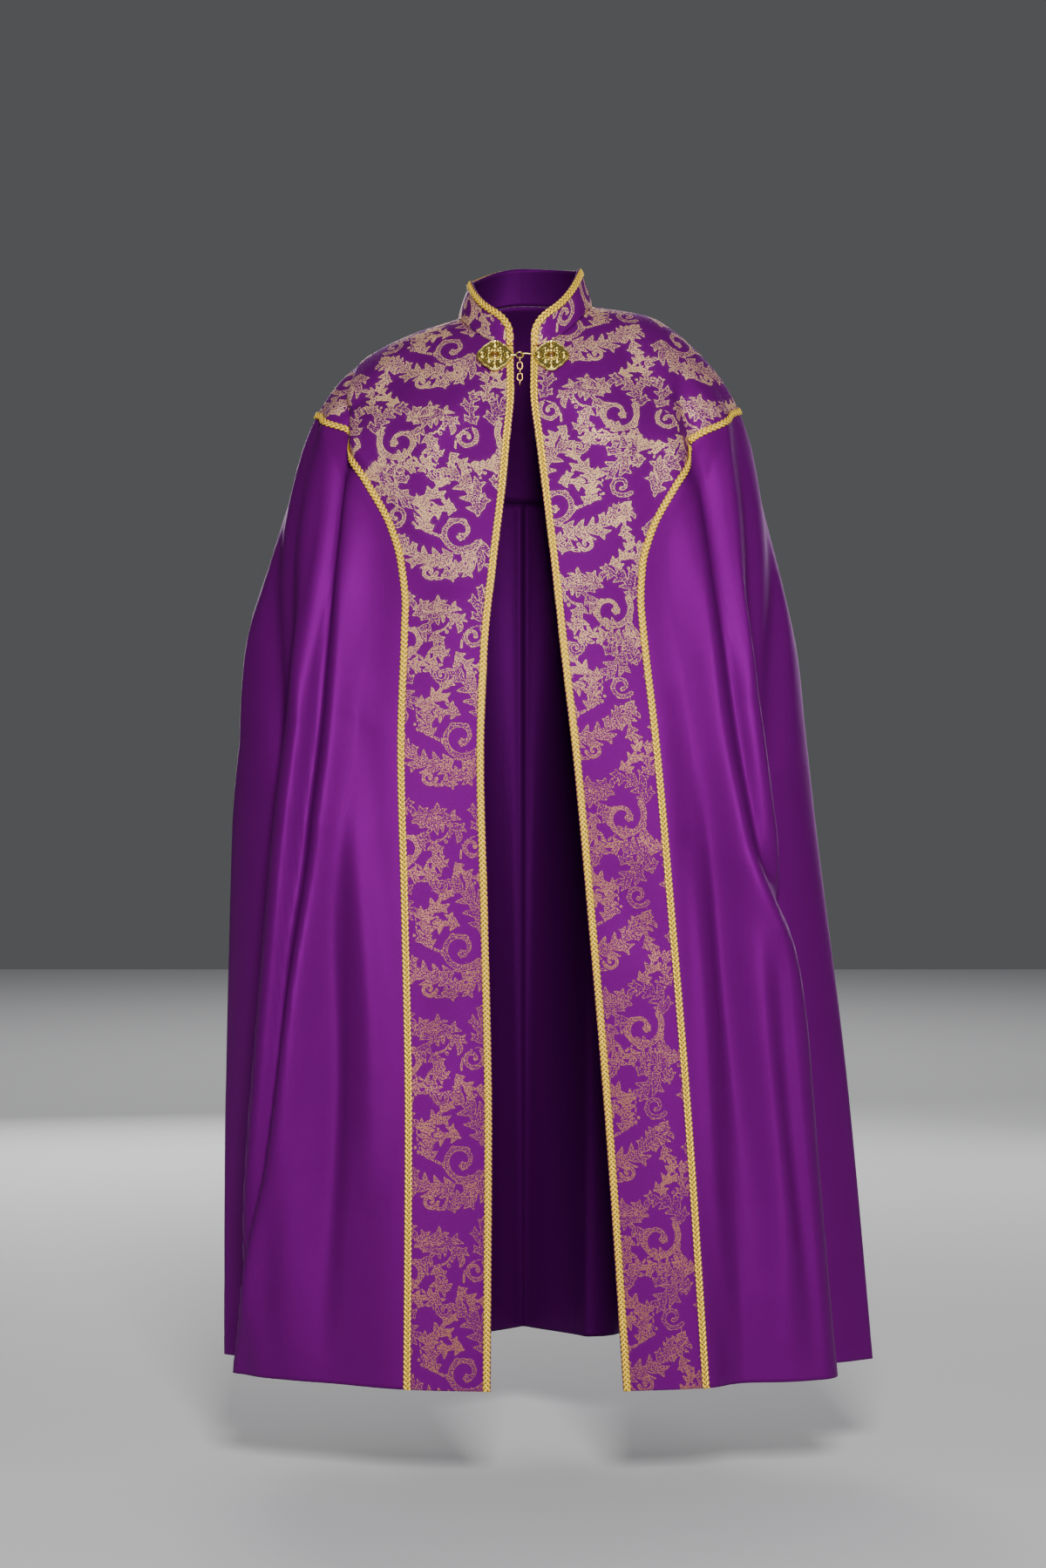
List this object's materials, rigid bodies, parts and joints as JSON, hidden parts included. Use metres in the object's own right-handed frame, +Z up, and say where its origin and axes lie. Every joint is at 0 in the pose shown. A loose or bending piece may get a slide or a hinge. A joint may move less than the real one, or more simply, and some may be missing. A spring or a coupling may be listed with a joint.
{
  "type": "cope",
  "caption": "Worn open-fronted cope with patterned yoke and front bands, standing collar, looped braid, hooked clasp and a short hanging chain.",
  "frame": {"origin": "centre of the neckline seam, where the cloak lies on the wearer's neck and shoulders", "axes": "+Z up, the open front faces -Y, +X to the wearer's left"},
  "size_m": [0.8436, 0.4972, 1.4323],
  "materials": {
    "brocade": "purple jacquard with a woven leaf scroll in pale gold metal thread",
    "plain_cloth": "plain purple twill with a soft sheen",
    "braid": "looped gold gimp braid in metal thread",
    "clasp_metal": "cast and polished, gold plated",
    "chain_metal": "bright gold plated wire"
  },
  "bodies": {
    "cloak": {"yoke_band_right": "brocade", "yoke_band_left": "brocade", "yoke_back": "brocade", "body_right": "plain_cloth", "body_left": "plain_cloth", "collar": "brocade", "braid_edge_right": "braid", "braid_edge_left": "braid", "braid_yoke_right": "braid", "braid_yoke_left": "braid", "braid_collar": "braid", "clasp_plate_right": "clasp_metal", "clasp_plate_left": "clasp_metal"},
    "chain_link_1": {"chain_link_1": "chain_metal"},
    "chain_link_2": {"chain_link_2": "chain_metal"},
    "chain_link_3": {"chain_link_3": "chain_metal"},
    "chain_link_4": {"chain_link_4": "chain_metal"},
    "chain_link_5": {"chain_link_5": "chain_metal"}
  },
  "joints": [
    {"name": "link_1_swing", "type": "hinge", "parent": "cloak", "child": "chain_link_1", "pos_m": [-0.004, -0.08772, -0.0279], "axis": [1, 0, 0], "range_deg": [-50, 15]},
    {"name": "link_2_swing", "type": "hinge", "parent": "chain_link_1", "child": "chain_link_2", "pos_m": [-0.004, -0.08772, -0.0351], "axis": [0, 1, 0], "range_deg": [-10, 10]},
    {"name": "link_3_swing", "type": "hinge", "parent": "chain_link_2", "child": "chain_link_3", "pos_m": [-0.004, -0.08772, -0.0424], "axis": [1, 0, 0], "range_deg": [-20, 20]},
    {"name": "link_4_swing", "type": "hinge", "parent": "chain_link_3", "child": "chain_link_4", "pos_m": [-0.004, -0.08772, -0.0497], "axis": [0, 1, 0], "range_deg": [-10, 10]},
    {"name": "link_5_swing", "type": "hinge", "parent": "chain_link_4", "child": "chain_link_5", "pos_m": [-0.004, -0.08772, -0.057], "axis": [1, 0, 0], "range_deg": [-20, 20]}
  ]
}
